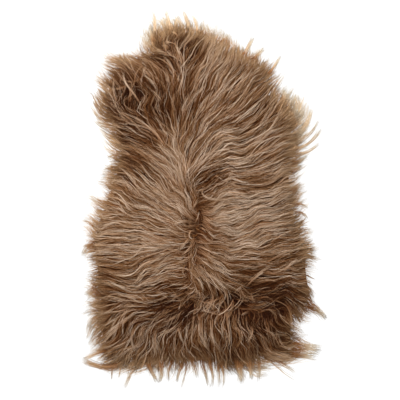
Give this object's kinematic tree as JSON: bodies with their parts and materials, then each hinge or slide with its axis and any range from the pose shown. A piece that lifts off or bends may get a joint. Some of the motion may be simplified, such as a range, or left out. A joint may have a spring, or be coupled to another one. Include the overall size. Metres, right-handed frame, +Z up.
{
  "type": "sheepskin rug",
  "caption": "Long-haired brown sheepskin rug lying flat: one hide in its natural outline, with long combed wool that parts along the back and hangs out in loose locks all round the rim.",
  "frame": {"origin": "on the floor, in the middle of the rug's box", "axes": "+X across the rug, to the right as seen from above with the neck end up; +Y from the tail end to the neck end; +Z up from the floor, out of the wool side"},
  "size_m": [0.6972, 1.05, 0.0605],
  "materials": {
    "wool": "long soft wool in loose wavy locks, pale tan on the ridges and dark rusty brown between them"
  },
  "bodies": {
    "root": {"fleece": "wool"}
  },
  "joints": []
}
